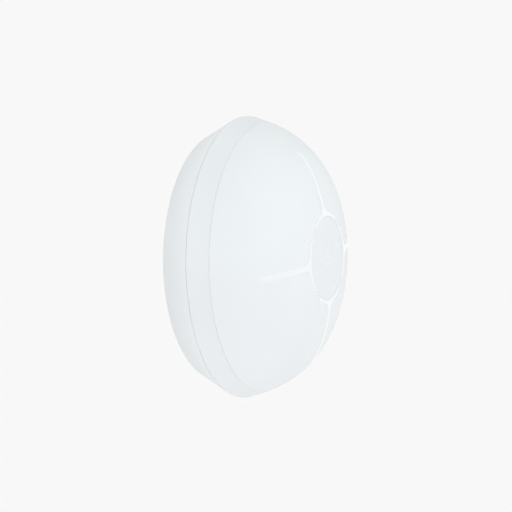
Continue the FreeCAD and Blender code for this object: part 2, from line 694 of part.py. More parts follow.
def make_pir_window():
    """Filter plate behind the can's opening, with a step that fills the opening."""
    ledge = 0.4
    back = CAN_FRONT - CAN_SHEET
    plate = block(WINDOW_WIDTH + 2 * ledge, WINDOW_HEIGHT + 2 * ledge, back - ledge, back)
    step = block(WINDOW_WIDTH - RUNNING_PLAY, WINDOW_HEIGHT - RUNNING_PLAY, back, CAN_FRONT - 0.1)
    return fused([plate, step])


def make_pir_header():
    plate = disc(CAN_RADIUS - CAN_SHEET - HAIRLINE, BOARD_FRONT + RUNNING_PLAY, HEADER_FRONT)
    low = BOARD_FRONT - OVERSHOOT
    return plate.cut(discs(PIN_HOLE_RADIUS, low, HEADER_FRONT + OVERSHOOT, pin_places()))


def make_pir_element():
    """Ceramic chip with a slot between its two halves."""
    size = 3.2
    front = HEADER_FRONT + 1.5
    slot = block(0.4, 2.4, front - 0.3, front + OVERSHOOT)
    return block(size, size, HEADER_FRONT, front).cut(slot)


def make_pir_pins():
    return Part.makeCompound(discs(PIN_RADIUS, BOARD_REAR - 0.25, HEADER_FRONT, pin_places()))


# ---- board and its pieces ----------------------------------------------------------------------
def make_main_board():
    low = BOARD_REAR - OVERSHOOT
    high = BOARD_FRONT + OVERSHOOT
    notch = CASE_BOSS_RADIUS + CASE_BOSS_PLAY
    mouth = block(2 * notch, 2 * notch, low, high, (CASE_SCREW_CIRCLE + notch, 0.0))
    cuts = discs(notch, low, high, case_places())
    cuts += [turned(mouth, angle) for angle in CASE_SCREW_ANGLES]
    cuts += discs(BOARD_HOLE_RADIUS, low, high, board_screw_places())
    cuts += discs(PIN_HOLE_RADIUS, low, high, pin_places())
    cuts += discs(ANTENNA_WIRE + RUNNING_PLAY, low, high, places(ANTENNA_CIRCLE, ANTENNA_ANGLES))
    cuts += tab_slots(low, high)
    return disc(BOARD_RADIUS, BOARD_REAR, BOARD_FRONT).cut(cuts)


def make_board_screws():
    tip = BOARD_PILOT_END + 1.0
    return copies_at(screw(BOARD_FRONT + 1.4, BOARD_FRONT, 2.0, 1.0, tip), board_screw_places())


def make_case_screws():
    tip = CASE_PILOT_END - 0.6
    return copies_at(screw(CASE_SEAT - 2.0, CASE_SEAT, 2.75, 1.25, tip), case_places())


def make_microcontroller():
    """Square package with a row of feet on every side."""
    size = 7.0
    reach = 8.4
    foot_width = 0.4
    foot_front = BOARD_FRONT + 0.3
    feet = []
    for k in range(6):
        offset = k - 2.5
        feet.append(block(reach, foot_width, BOARD_FRONT, foot_front, (0.0, offset)))
        feet.append(block(foot_width, reach, BOARD_FRONT, foot_front, (offset, 0.0)))
    chip = fused([block(size, size, BOARD_FRONT + 0.1, BOARD_FRONT + 1.0)] + feet)
    return copies_at(chip, [(9.0, 12.5)]).Solids[0]


def make_crystal():
    can = block(3.2, 2.5, BOARD_FRONT, BOARD_FRONT + 0.8, (17.0, 8.0))
    upright = [edge for edge in can.Edges if abs(edge.tangentAt(edge.FirstParameter).z) > 0.9]
    return can.makeFillet(0.3, upright)


def make_reservoir_capacitor():
    """Upright can with a crimp near its foot."""
    radius = 3.15
    neck = radius - 0.2
    height = 4.6
    can = turned_body([
        (0.0, 0.0),
        (radius, 0.0),
        (radius, 1.0),
        (neck, 1.2),
        (neck, 1.4),
        (radius, 1.6),
        (radius, height - 0.3),
        (radius - 0.3, height),
        (0.0, height),
    ])
    can.translate(V(11.5, -18.5, BOARD_FRONT))
    return can


def make_board_passives():
    pieces = []
    for column in range(4):
        for row in range(2):
            centre = (7.0 + 2.6 * column, -9.0 - 2.4 * row)
            pieces.append(block(1.6, 0.8, BOARD_FRONT, BOARD_FRONT + 0.8, centre))
    return Part.makeCompound(pieces)


def make_radio_module():
    return block(RADIO_SIZE, RADIO_SIZE, BOARD_FRONT, RADIO_FRONT, RADIO_PLACE)


def make_radio_shield():
    """Sheet-metal lid over most of the radio board."""
    width = RADIO_SIZE - 2.0
    height = RADIO_SIZE - 4.0
    front = RADIO_FRONT + 1.8
    centre = (RADIO_PLACE[0], RADIO_PLACE[1] - 1.5)
    inside = block(width - 2 * SHIELD_SHEET, height - 2 * SHIELD_SHEET, RADIO_FRONT - OVERSHOOT,
                   front - SHIELD_SHEET, centre)
    return block(width, height, RADIO_FRONT, front, centre).cut(inside)


def make_antenna():
    """Bent wire: a long arc held above the board's edge by a foot at each end."""
    start, end = [polar(ANTENNA_CIRCLE, angle, ANTENNA_DEPTH) for angle in ANTENNA_ANGLES]
    middle = polar(ANTENNA_CIRCLE, sum(ANTENNA_ANGLES) / 2, ANTENNA_DEPTH)
    path = Part.Wire(Part.Arc(start, middle, end).toShape())
    section = Part.Wire(Part.makeCircle(ANTENNA_WIRE, start, polar(1.0, ANTENNA_ANGLES[0] + 90.0)))
    pieces = [path.makePipeShell([section], True, True)]
    pieces += discs(ANTENNA_WIRE, BOARD_REAR, ANTENNA_DEPTH, [(start.x, start.y), (end.x, end.y)])
    pieces += [Part.makeSphere(ANTENNA_WIRE, place) for place in (start, end)]
    return fused(pieces)


def make_status_leds():
    base = block(1.6, 1.6, BOARD_FRONT, BOARD_FRONT + 0.5, (LED_CIRCLE, 0.0))
    window = disc(0.7, BOARD_FRONT + 0.4, BOARD_FRONT + 0.9, (LED_CIRCLE, 0.0))
    return Part.makeCompound(around(fused([base, window]), 4, CROSS_TURN))


# ---- battery and contacts ----------------------------------------------------------------------
def along_x(shape, start_x):
    """Turn a shape drawn along Z to lie along +X on the battery's axis, starting at start_x."""
    lying = shape.copy()
    lying.rotate(V(0, 0, 0), V(0, 1, 0), 90)
    lying.translate(V(start_x, BATTERY_UP, BATTERY_DEPTH))
    return lying


def make_battery():
    edge = 0.6
    nub_end = BATTERY_BODY_LENGTH + BATTERY_NUB_LENGTH
    return along_x(turned_body([
        (0.0, 0.0),
        (BATTERY_RADIUS - edge, 0.0),
        (BATTERY_RADIUS, edge),
        (BATTERY_RADIUS, BATTERY_BODY_LENGTH - edge),
        (BATTERY_RADIUS - edge, BATTERY_BODY_LENGTH),
        (BATTERY_NUB_RADIUS, BATTERY_BODY_LENGTH),
        (BATTERY_NUB_RADIUS, nub_end),
        (0.0, nub_end),
    ]), BATTERY_START)


def contact_plate(side):
    """Sheet at one end of the well, with a tab that runs up through the board."""
    centre = (side * (CONTACT_FACE + CONTACT_THICKNESS / 2), BATTERY_UP)
    plate = block(CONTACT_THICKNESS, CONTACT_WIDTH, BATTERY_DEPTH - 5.0, WELL_TOP - 1.0, centre)
    tab = block(CONTACT_THICKNESS, TAB_WIDTH, WELL_TOP - 2.0, BOARD_FRONT + 0.6, centre)
    return fused([plate, tab])


def make_battery_contact_plus():
    nub_face = BATTERY_START + BATTERY_BODY_LENGTH + BATTERY_NUB_LENGTH
    dimple = along_x(disc(2.0, 0.0, CONTACT_FACE + CONTACT_THICKNESS / 2 - nub_face), nub_face)
    return fused([contact_plate(1), dimple])


def make_battery_contact_minus():
    wire = 0.35
    low = -CONTACT_FACE + wire - 0.1
    high = BATTERY_START - wire - HAIRLINE
    spring = coil(4.2, wire, 0.0, high - low, 3)
    return fused([contact_plate(-1), along_x(spring, low)])


# ---- tamper and pairing button -----------------------------------------------------------------
def make_tamper_plunger():
    """Rod from the wall to the board; its flange carries the spring and stops on the head's floor."""
    tip = 0.05
    tip_edge = 0.6
    return turned_body([
        (0.0, tip),
        (TAMPER_ROD_RADIUS - tip_edge, tip),
        (TAMPER_ROD_RADIUS, tip + tip_edge),
        (TAMPER_ROD_RADIUS, TAMPER_FLANGE_REAR),
        (TAMPER_FLANGE_RADIUS, TAMPER_FLANGE_REAR),
        (TAMPER_FLANGE_RADIUS, TAMPER_FLANGE_FRONT),
        (PILL_RADIUS, TAMPER_FLANGE_FRONT),
        (PILL_RADIUS, PILL_FRONT - PILL_THICKNESS),
        (0.0, PILL_FRONT - PILL_THICKNESS),
    ])


def make_contact_pill():
    return disc(PILL_RADIUS, PILL_FRONT - PILL_THICKNESS, PILL_FRONT)


def make_tamper_contacts():
    """Two half-round pads on the back of the board, which the pill bridges."""
    gap = 0.5
    pad = disc(PILL_RADIUS - 0.1, BOARD_REAR - PAD_THICKNESS, BOARD_REAR)
    return pad.cut(block(gap, 3 * PILL_RADIUS, BOARD_REAR - OVERSHOOT, BOARD_REAR + OVERSHOOT))


def make_tamper_spring():
    wire = 0.25
    return coil(2.95, wire, TAMPER_FLANGE_FRONT + wire, BOARD_REAR - wire - HAIRLINE, 9)


def make_pair_button():
    edge = 0.4
    stem = 1.6
    flange = PAIR_BUTTON_RADIUS + 0.9
    flange_rear = HEAD_FLOOR_TOP + RUNNING_PLAY
    flange_front = flange_rear + 0.9
    button = turned_body([
        (0.0, PAIR_BUTTON_REAR),
        (PAIR_BUTTON_RADIUS - edge, PAIR_BUTTON_REAR),
        (PAIR_BUTTON_RADIUS, PAIR_BUTTON_REAR + edge),
        (PAIR_BUTTON_RADIUS, flange_rear),
        (flange, flange_rear),
        (flange, flange_front),
        (stem, flange_front),
        (stem, SWITCH_STEM_REAR),
        (0.0, SWITCH_STEM_REAR),
    ])
    button.translate(V(PAIR_BUTTON_PLACE[0], PAIR_BUTTON_PLACE[1], 0))
    return button


def make_pair_switch():
    body = block(SWITCH_SIZE, SWITCH_SIZE, SWITCH_REAR, BOARD_REAR, PAIR_BUTTON_PLACE)
    bore_radius = SWITCH_STEM_RADIUS + RUNNING_PLAY
    return body.cut(disc(bore_radius, SWITCH_REAR - OVERSHOOT, SWITCH_BORE_END, PAIR_BUTTON_PLACE))


def make_pair_switch_stem():
    return disc(SWITCH_STEM_RADIUS, SWITCH_STEM_REAR, SWITCH_STEM_FRONT, PAIR_BUTTON_PLACE)


PIECES = {
    "rear_shell": make_rear_shell,
    "seal_ring": make_seal_ring,
    "mid_housing": make_mid_housing,
    "front_dome": make_front_dome,
    "light_guide": make_light_guide,
    "lens_disc": make_lens_disc,
    "lens_retainer": make_lens_retainer,
    "retainer_screws": make_retainer_screws,
    "sensor_shroud": make_sensor_shroud,
    "pir_can": make_pir_can,
    "pir_window": make_pir_window,
    "pir_header": make_pir_header,
    "pir_element": make_pir_element,
    "pir_pins": make_pir_pins,
    "main_board": make_main_board,
    "board_screws": make_board_screws,
    "case_screws": make_case_screws,
    "microcontroller": make_microcontroller,
    "crystal": make_crystal,
    "reservoir_capacitor": make_reservoir_capacitor,
    "board_passives": make_board_passives,
    "radio_module": make_radio_module,
    "radio_shield": make_radio_shield,
    "antenna": make_antenna,
    "status_leds": make_status_leds,
    "battery": make_battery,
    "battery_contact_plus": make_battery_contact_plus,
    "battery_contact_minus": make_battery_contact_minus,
    "tamper_plunger": make_tamper_plunger,
    "contact_pill": make_contact_pill,
    "tamper_contacts": make_tamper_contacts,
    "tamper_spring": make_tamper_spring,
    "pair_button": make_pair_button,
    "pair_switch": make_pair_switch,
    "pair_switch_stem": make_pair_switch_stem,
}


def export(name, shape):
    """Stand the part up: depth out of the wall becomes -Y, and up becomes +Z."""
    standing = shape.copy()
    standing.rotate(V(0, 0, 0), V(1, 0, 0), 90)
    standing.exportStep(os.path.join("parts", name + ".step"))


os.makedirs("parts", exist_ok=True)
for piece_name, make_piece in PIECES.items():
    export(piece_name, make_piece())
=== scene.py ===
import bpy
import math
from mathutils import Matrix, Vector


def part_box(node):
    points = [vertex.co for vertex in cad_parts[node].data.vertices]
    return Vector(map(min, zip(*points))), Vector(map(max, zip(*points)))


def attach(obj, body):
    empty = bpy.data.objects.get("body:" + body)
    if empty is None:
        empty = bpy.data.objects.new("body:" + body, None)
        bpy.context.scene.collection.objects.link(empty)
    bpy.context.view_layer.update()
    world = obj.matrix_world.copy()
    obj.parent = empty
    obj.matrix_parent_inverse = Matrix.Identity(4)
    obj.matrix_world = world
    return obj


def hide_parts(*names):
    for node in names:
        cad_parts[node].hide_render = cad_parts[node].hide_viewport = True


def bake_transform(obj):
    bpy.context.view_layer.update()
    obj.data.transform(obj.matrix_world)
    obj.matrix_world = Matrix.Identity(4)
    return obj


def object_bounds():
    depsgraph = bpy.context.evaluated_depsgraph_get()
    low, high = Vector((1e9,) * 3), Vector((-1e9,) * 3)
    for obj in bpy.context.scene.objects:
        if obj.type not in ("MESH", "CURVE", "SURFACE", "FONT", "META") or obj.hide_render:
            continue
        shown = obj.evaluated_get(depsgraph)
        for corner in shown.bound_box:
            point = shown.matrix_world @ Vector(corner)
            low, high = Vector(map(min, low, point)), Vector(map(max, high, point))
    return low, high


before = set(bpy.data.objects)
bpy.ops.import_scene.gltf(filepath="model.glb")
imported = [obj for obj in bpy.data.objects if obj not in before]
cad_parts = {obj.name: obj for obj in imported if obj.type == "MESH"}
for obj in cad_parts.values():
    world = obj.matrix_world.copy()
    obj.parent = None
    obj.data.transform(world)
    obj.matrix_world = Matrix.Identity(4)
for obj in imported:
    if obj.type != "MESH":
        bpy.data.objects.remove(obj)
cad_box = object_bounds()

# The sensor hangs on a wall: its mounting face is at y = 0, it looks along -Y, and +Z is up.
MM = 0.001


# ---- node helpers ------------------------------------------------------------------------------
NOISE_LOW = 0.3                  # most of a noise node's output lies between these two
NOISE_HIGH = 0.7


class Look:
    """A new node material: a Principled shader and short calls that add what feeds it."""

    def __init__(self, name, **settings):
        self.material = bpy.data.materials.new("look_" + name)
        self.material.use_nodes = True
        self.tree = self.material.node_tree
        self.tree.nodes.clear()
        self.shader = self.add("ShaderNodeBsdfPrincipled")
        output = self.add("ShaderNodeOutputMaterial")
        self.join(self.shader.outputs["BSDF"], output.inputs["Surface"])
        self.place = self.add("ShaderNodeTexCoord").outputs["Object"]
        for key, value in settings.items():
            self.shader.inputs[key.replace("_", " ").title().replace("Ior", "IOR")].default_value = value

    def add(self, kind, **attributes):
        node = self.tree.nodes.new(kind)
        for key, value in attributes.items():
            setattr(node, key, value)
        return node

    def join(self, start, end):
        self.tree.links.new(start, end)

    def put(self, value, socket):
        """Feed a socket with a number, a colour or another node's output."""
        if isinstance(value, bpy.types.NodeSocket):
            self.join(value, socket)
        else:
            socket.default_value = value

    def math(self, operation, first, second=0.0, third=0.0):
        node = self.add("ShaderNodeMath", operation=operation)
        for value, socket in zip((first, second, third), node.inputs):
            self.put(value, socket)
        return node.outputs[0]

    def spread(self, value, low, high, new_low, new_high):
        node = self.add("ShaderNodeMapRange")
        for number, socket in zip((value, low, high, new_low, new_high), node.inputs):
            self.put(number, socket)
        return node.outputs[0]

    def noise(self, size, detail=2.0, stretch=(1.0, 1.0, 1.0)):
        """Noise whose blobs are about size metres across, longer along an axis with a larger stretch."""
        mapping = self.add("ShaderNodeMapping")
        self.join(self.place, mapping.inputs["Vector"])
        mapping.inputs["Scale"].default_value = [1.0 / (size * s) for s in stretch]
        node = self.add("ShaderNodeTexNoise")
        self.join(mapping.outputs[0], node.inputs["Vector"])
        node.inputs["Scale"].default_value = 1.0
        node.inputs["Detail"].default_value = detail
        return node.outputs["Fac"]

    def blend(self, factor, first, second):
        """Mix of two colours, or of two numbers."""
        node = self.add("ShaderNodeMix", data_type="RGBA" if self.is_colour(first) else "FLOAT")
        sockets = [socket for socket in node.inputs if socket.enabled]
        for value, socket in zip((factor, first, second), sockets):
            self.put(value, socket)
        return next(socket for socket in node.outputs if socket.enabled)

    @staticmethod
    def is_colour(value):
        if isinstance(value, bpy.types.NodeSocket):
            return value.type == "RGBA"
        return isinstance(value, (list, tuple))

    def coordinates(self):
        node = self.add("ShaderNodeSeparateXYZ")
        self.join(self.place, node.inputs[0])
        return node.outputs

    def length(self, across, up):
        """Length of the arrow that goes this far across and this far up."""
        squares = self.math("ADD", self.math("MULTIPLY", across, across), self.math("MULTIPLY", up, up))
        return self.math("SQRT", squares)

    def radius(self):
        """Distance from the sensor's own axis."""
        x, _, z = self.coordinates()
        return self.length(x, z)

    def colour(self, value):
        self.put(value, self.shader.inputs["Base Color"])

    def roughness(self, value):
        self.put(value, self.shader.inputs["Roughness"])

    def uneven_roughness(self, low, high, size, detail=2.0, stretch=(1.0, 1.0, 1.0)):
        """Roughness that wanders between low and high over patches about size metres across."""
        patches = self.noise(size, detail, stretch)
        self.roughness(self.spread(patches, NOISE_LOW, NOISE_HIGH, low, high))

    def glow(self, colour, strength):
        self.put(colour, self.shader.inputs["Emission Color"])
        self.put(strength, self.shader.inputs["Emission Strength"])

    def bump(self, height, distance):
        """Raise the surface by height (0 to 1) times distance metres, on top of any earlier bump."""
        node = self.add("ShaderNodeBump")
        self.put(height, node.inputs["Height"])
        node.inputs["Distance"].default_value = distance
        normal = self.shader.inputs["Normal"]
        if normal.is_linked:
            self.join(normal.links[0].from_socket, node.inputs["Normal"])
        self.join(node.outputs["Normal"], normal)


def shade(colour, factor):
    """The same colour, lighter or darker."""
    return [min(1.0, channel * factor) for channel in colour[:3]] + [1.0]


# ---- finishes ----------------------------------------------------------------------------------
SHELL_WHITE = (0.730, 0.753, 0.767, 1.0)
LENS_WHITE = (0.720, 0.743, 0.757, 1.0)
PAINTED_GLOW_COLOUR = (0.955, 0.988, 1.0, 1.0)       # colour of the painted glow in the ribs and beside them
# painted light: strength of the even glow that makes the ribs bright on every side
RIB_PAINTED_GLOW = 0.63


def moulded(name, colour, roughness, grain=0.12 * MM, height=0.002 * MM, mottle=0.015, **settings):
    """Moulded plastic: fine tool grain, faint flow marks and uneven gloss."""
    look = Look(name, **settings)
    drift = look.noise(14 * MM)
    look.colour(look.blend(drift, shade(colour, 1.0 - mottle), shade(colour, 1.0 + mottle)))
    look.uneven_roughness(roughness - 0.04, roughness + 0.04, 5 * MM, 3.0)
    look.bump(look.noise(3 * MM), height * 2)
    look.bump(look.noise(grain, 3.0), height)
    return look


def metal(name, colour, roughness, stretch):
    """Metal with a fine drawn or plated grain and slightly stained patches."""
    look = Look(name, metallic=1.0)
    stain = look.noise(2.5 * MM, 4.0)
    look.colour(look.blend(stain, shade(colour, 0.82), colour))
    look.uneven_roughness(roughness - 0.08, roughness + 0.1, 0.8 * MM, 3.0, stretch)
    look.bump(look.noise(0.15 * MM, 2.0, stretch), 0.0004 * MM)
    return look


def shell_finish():
    """White plastic of the rear shell and the band; the rear shell carries painted shade, darker at the
    wall and lighter towards the seam.
    """
    painted_wall_shade = 0.92
    painted_seam_light = 1.04
    band_tone = 0.55             # the band's even place between the two
    drift = 0.1
    look = moulded("shell_white", SHELL_WHITE, 0.42)
    seam, wall = (corner.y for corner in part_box("rear_shell"))
    _, y, _ = look.coordinates()
    behind_seam = look.math("GREATER_THAN", y, seam)
    # painted shade: the rear shell's tone runs from dark at the wall to light at the seam; flow adds
    # random tone on top
    tone = look.blend(behind_seam, band_tone, look.spread(y, wall, seam, 0.0, 1.0))
    flow = look.spread(look.noise(14 * MM), NOISE_LOW, NOISE_HIGH, -drift, drift)
    tone = look.math("ADD", tone, flow)
    look.colour(look.blend(tone, shade(SHELL_WHITE, painted_wall_shade), shade(SHELL_WHITE, painted_seam_light)))
    return look


def painted_rib_halo(look):
    """Mask of the painted glow on the dome beside the ribs: 1 along their edges, 0 a short way off."""
    arm_half_width = 0.62 * MM
    ring_radius = 13.2 * MM                      # outside of the four arcs round the lens
    arc_reach = math.sin(math.radians(36.0))     # how far an arc runs to either side of its arm
    halo_reach = 0.7 * MM
    rib_points = [vertex.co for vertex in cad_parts["light_guide"].data.vertices]
    tip = max(rib_points, key=lambda point: math.hypot(point.x, point.z))
    tip_radius = math.hypot(tip.x, tip.z)
    x, _, z = look.coordinates()

    def distance_along(right, up):
        """Distance from the axis, measured along the direction (right, up)."""
        across = look.math("MULTIPLY", x, right / tip_radius)
        upward = look.math("MULTIPLY", z, up / tip_radius)
        return look.math("ABSOLUTE", look.math("ADD", across, upward))

    beside = look.math("MINIMUM", distance_along(tip.x, tip.z), distance_along(-tip.z, tip.x))
    radius = look.radius()
    arm = look.spread(beside, arm_half_width, arm_half_width + halo_reach, 1.0, 0.0)
    inside_tip = look.spread(radius, tip_radius, tip_radius + halo_reach, 1.0, 0.0)
    arm = look.math("MULTIPLY", arm, inside_tip)
    ring = look.spread(radius, ring_radius, ring_radius + halo_reach, 1.0, 0.0)
    past_arc = look.math("SUBTRACT", look.math("DIVIDE", beside, radius), arc_reach)
    inside_arc = look.spread(past_arc, 0.0, halo_reach / ring_radius, 1.0, 0.0)
    ring = look.math("MULTIPLY", ring, inside_arc)
    return look.math("MAXIMUM", arm, ring)


def dome_finish():
    """White plastic of the dome, with a faint painted glow beside the ribs."""
    painted_halo_strength = 0.05
    look = moulded("dome_white", SHELL_WHITE, 0.40)
    look.glow(PAINTED_GLOW_COLOUR, look.math("MULTIPLY", painted_rib_halo(look), painted_halo_strength))
    return look


def rib_finish():
    """Opal light guide whose brightness is mostly painted light: an even glow on every side."""
    look = moulded("rib_opal", (0.225, 0.228, 0.232, 1.0), 0.5, height=0.001 * MM, mottle=0.005)
    look.glow(PAINTED_GLOW_COLOUR, RIB_PAINTED_GLOW)
    return look


def lens_finish():
    """Milky lens: the sensor's can and its window show through as a faint circle and a lighter spot."""
    rim_share = 0.85             # the circle's radius, as a share of the can's
    rim_softness = 0.9 * MM
    rim_strength = 0.35
    spot_inside = 0.3            # the spot fades between these two, as shares of the window's size
    spot_outside = 1.1
    spot_strength = 0.4
    look = Look("lens_milky")
    can_low, can_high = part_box("pir_can")
    can_radius = (can_high.x - can_low.x) / 2
    off_rim = look.math("ABSOLUTE", look.math("SUBTRACT", look.radius(), can_radius * rim_share))
    rim = look.spread(off_rim, 0.0, rim_softness, 1.0, 0.0)
    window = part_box("pir_window")[1]
    x, _, z = look.coordinates()
    from_middle = look.length(look.math("DIVIDE", x, window.x), look.math("DIVIDE", z, window.z))
    spot = look.spread(from_middle, spot_inside, spot_outside, 1.0, 0.0)
    body = look.blend(look.noise(6 * MM), shade(LENS_WHITE, 0.99), shade(LENS_WHITE, 1.01))
    body = look.blend(look.math("MULTIPLY", rim, rim_strength), body, shade(LENS_WHITE, 0.95))
    look.colour(look.blend(look.math("MULTIPLY", spot, spot_strength), body, shade(LENS_WHITE, 1.06)))
    look.uneven_roughness(0.42, 0.5, 2 * MM)
    look.bump(look.noise(0.25 * MM), 0.002 * MM)
    return look


def rubber_finish():
    """Dark rubber, speckled and dull."""
    look = Look("seal_rubber")
    speckle = look.noise(0.3 * MM, 4.0)
    look.colour(look.blend(speckle, (0.035, 0.037, 0.04, 1.0), (0.075, 0.078, 0.08, 1.0)))
    look.uneven_roughness(0.62, 0.8, 2 * MM, 3.0)
    look.bump(look.noise(0.08 * MM, 3.0), 0.006 * MM)
    return look


def window_finish():
    """Silicon filter: dark, with a thin-film purple to green tint across it."""
    look = Look("window_filter", metallic=0.7, coat_weight=0.6)
    look.colour(look.blend(look.noise(2 * MM, 1.0), (0.10, 0.07, 0.14, 1.0), (0.05, 0.11, 0.12, 1.0)))
    look.uneven_roughness(0.08, 0.16, 0.5 * MM)
    look.bump(look.noise(0.4 * MM, 1.0), 0.001 * MM)
    return look


def board_tracks(look, x, z):
    """Bundles of parallel copper tracks: 1 on a track, 0 beside it; each area runs its own way."""
    pitch = 0.9 * MM
    track_share = 0.3            # of the pitch
    area_size = 8 * MM
    routed_share = 0.6           # of the areas

    def stripes(place):
        return look.math("LESS_THAN", look.math("FRACT", look.math("DIVIDE", place, pitch)), track_share)

    areas = look.add("ShaderNodeTexVoronoi", distance="CHEBYCHEV")
    look.join(look.place, areas.inputs["Vector"])
    areas.inputs["Scale"].default_value = 1.0 / area_size
    choice = look.add("ShaderNodeSeparateColor")
    look.join(areas.outputs["Color"], choice.inputs[0])
    crosswise = look.math("GREATER_THAN", choice.outputs[0], 0.5)
    routed = look.math("LESS_THAN", choice.outputs[1], routed_share)
    return look.math("MULTIPLY", look.blend(crosswise, stripes(x), stripes(z)), routed)


def board_plated_holes(look, x, z):
    """Small scattered holes: 1 on their plated pads, 0 elsewhere."""
    spacing = 5 * MM
    pad_share = 0.07             # radius of a pad, as a share of the spacing
    flat = look.add("ShaderNodeCombineXYZ")
    look.join(x, flat.inputs[0])
    look.join(z, flat.inputs[1])
    holes = look.add("ShaderNodeTexVoronoi", voronoi_dimensions="2D")
    look.join(flat.outputs[0], holes.inputs["Vector"])
    holes.inputs["Scale"].default_value = 1.0 / spacing
    return look.math("LESS_THAN", holes.outputs["Distance"], pad_share)


def board_finish():
    """Solder mask over copper tracks, with plated holes and a faint glass weave."""
    look = Look("board_green", coat_weight=0.5, coat_roughness=0.2)
    x, _, z = look.coordinates()
    tracks = board_tracks(look, x, z)
    weave = look.noise(0.35 * MM, 1.0, (3.0, 1.0, 1.0))
    mask = look.blend(weave, (0.012, 0.15, 0.055, 1.0), (0.016, 0.18, 0.065, 1.0))
    coppered = look.blend(tracks, mask, (0.022, 0.24, 0.085, 1.0))
    look.colour(look.blend(board_plated_holes(look, x, z), coppered, (0.55, 0.50, 0.30, 1.0)))
    look.uneven_roughness(0.3, 0.42, 3 * MM)
    look.bump(tracks, 0.02 * MM)
    look.bump(weave, 0.004 * MM)
    return look


def battery_finish():
    """Shrink sleeve with a plain coloured band at the positive end and bare metal ends."""
    band_start = 0.78            # places along the cell, as shares of its length
    nub_start = 0.945
    base_end = 0.02
    look = Look("battery_wrap", coat_weight=0.4, coat_roughness=0.15)
    low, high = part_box("battery")
    x, _, _ = look.coordinates()
    along = look.math("DIVIDE", look.math("SUBTRACT", x, low.x), high.x - low.x)
    sleeve = look.blend(look.noise(8 * MM), (0.02, 0.09, 0.20, 1.0), (0.03, 0.12, 0.26, 1.0))
    sleeve = look.blend(look.math("GREATER_THAN", along, band_start), sleeve, (0.62, 0.64, 0.66, 1.0))
    bare = look.math("MAXIMUM", look.math("GREATER_THAN", along, nub_start),
                     look.math("LESS_THAN", along, base_end))
    look.colour(look.blend(bare, sleeve, (0.72, 0.70, 0.66, 1.0)))
    look.put(bare, look.shader.inputs["Metallic"])
    look.uneven_roughness(0.24, 0.36, 1.5 * MM, 3.0)
    look.bump(look.noise(1.2 * MM), 0.003 * MM)
    return look


# Plain plastics and the like: colour, roughness and what else differs from an ordinary moulding.
BLACK = (0.02, 0.021, 0.023, 1.0)
PLASTICS = {
    "retainer_grey": ((0.42, 0.43, 0.44, 1.0), 0.5, {"mottle": 0.04}),
    "shroud_black": (BLACK, 0.55, {"mottle": 0.1}),
    "element_ceramic": ((0.62, 0.60, 0.55, 1.0), 0.7, {"grain": 0.05 * MM, "mottle": 0.08}),
    "chip_black": ((0.025, 0.025, 0.027, 1.0), 0.6,
                   {"grain": 0.06 * MM, "height": 0.004 * MM, "mottle": 0.12}),
    "passive_tan": ((0.45, 0.34, 0.20, 1.0), 0.5, {"grain": 0.05 * MM, "mottle": 0.1}),
    "led_clear": ((0.85, 0.84, 0.72, 1.0), 0.18, {"mottle": 0.03, "coat_weight": 0.5}),
    "plunger_grey": ((0.55, 0.57, 0.58, 1.0), 0.45, {"mottle": 0.03}),
    "pill_carbon": ((0.03, 0.03, 0.03, 1.0), 0.8,
                    {"grain": 0.05 * MM, "height": 0.006 * MM, "mottle": 0.2}),
    "switch_black": (BLACK, 0.4, {"mottle": 0.1}),
}

# Metals: colour, roughness and how far the grain is drawn out along X, Y and Z.
METALS = {
    "can_steel": ((0.74, 0.73, 0.70, 1.0), 0.24, (6.0, 1.0, 6.0)),
    "pin_gold": ((0.90, 0.68, 0.30, 1.0), 0.25, (1.0, 1.0, 1.0)),
    "screw_steel": ((0.62, 0.62, 0.61, 1.0), 0.32, (1.0, 8.0, 1.0)),
    "crystal_steel": ((0.78, 0.77, 0.74, 1.0), 0.22, (8.0, 1.0, 1.0)),
    "capacitor_can": ((0.72, 0.73, 0.75, 1.0), 0.3, (1.0, 10.0, 1.0)),
    "shield_tin": ((0.70, 0.71, 0.71, 1.0), 0.3, (10.0, 1.0, 1.0)),
    "antenna_wire": ((0.80, 0.79, 0.76, 1.0), 0.25, (1.0, 1.0, 1.0)),
    "contact_nickel": ((0.76, 0.74, 0.69, 1.0), 0.28, (1.0, 6.0, 1.0)),
    "spring_steel": ((0.60, 0.60, 0.60, 1.0), 0.3, (6.0, 1.0, 6.0)),
}


def make_finishes():
    """One finish for every material slot of the record."""
    made = {
        "shell_white": shell_finish(),
        "dome_white": dome_finish(),
        "rib_opal": rib_finish(),
        "lens_milky": lens_finish(),
        "seal_rubber": rubber_finish(),
        "window_filter": window_finish(),
        "board_green": board_finish(),
        "battery_wrap": battery_finish(),
    }
    for slot, (colour, roughness, settings) in PLASTICS.items():
        made[slot] = moulded(slot, colour, roughness, **settings)
    for slot, (colour, roughness, stretch) in METALS.items():
        made[slot] = metal(slot, colour, roughness, stretch)
    return made


# ---- pieces made here --------------------------------------------------------------------------
def mesh_piece(name, points, faces, finish):
    """Smooth-shaded object made of these points and faces, in this finish."""
    mesh = bpy.data.meshes.new(name)
    mesh.from_pydata([tuple(point) for point in points], [], faces)
    mesh.validate()
    for polygon in mesh.polygons:
        polygon.use_smooth = True
    mesh.materials.append(finish.material)
    piece = bpy.data.objects.new(name, mesh)
    bpy.context.scene.collection.objects.link(piece)
    return piece


def closed_grid(rows, columns, close_rows):
    """Quads of a grid of points that closes round its columns, and round its rows too if asked."""
    faces = []
    for row in range(rows if close_rows else rows - 1):
        this_row = row * columns
        next_row = (row + 1) % rows * columns
        for column in range(columns):
            next_column = (column + 1) % columns
            faces.append((this_row + column, this_row + next_column,
                          next_row + next_column, next_row + column))
    return faces


def lathe(name, outline, steps, finish):
    """Closed outline of (radius, y) points turned about the Y axis."""
    points = []
    for step in range(steps):
        angle = 2 * math.pi * step / steps
        for radius, y in outline:
            points.append(Vector((radius * math.cos(angle), y, radius * math.sin(angle))))
    return mesh_piece(name, points, closed_grid(steps, len(outline), True), finish)


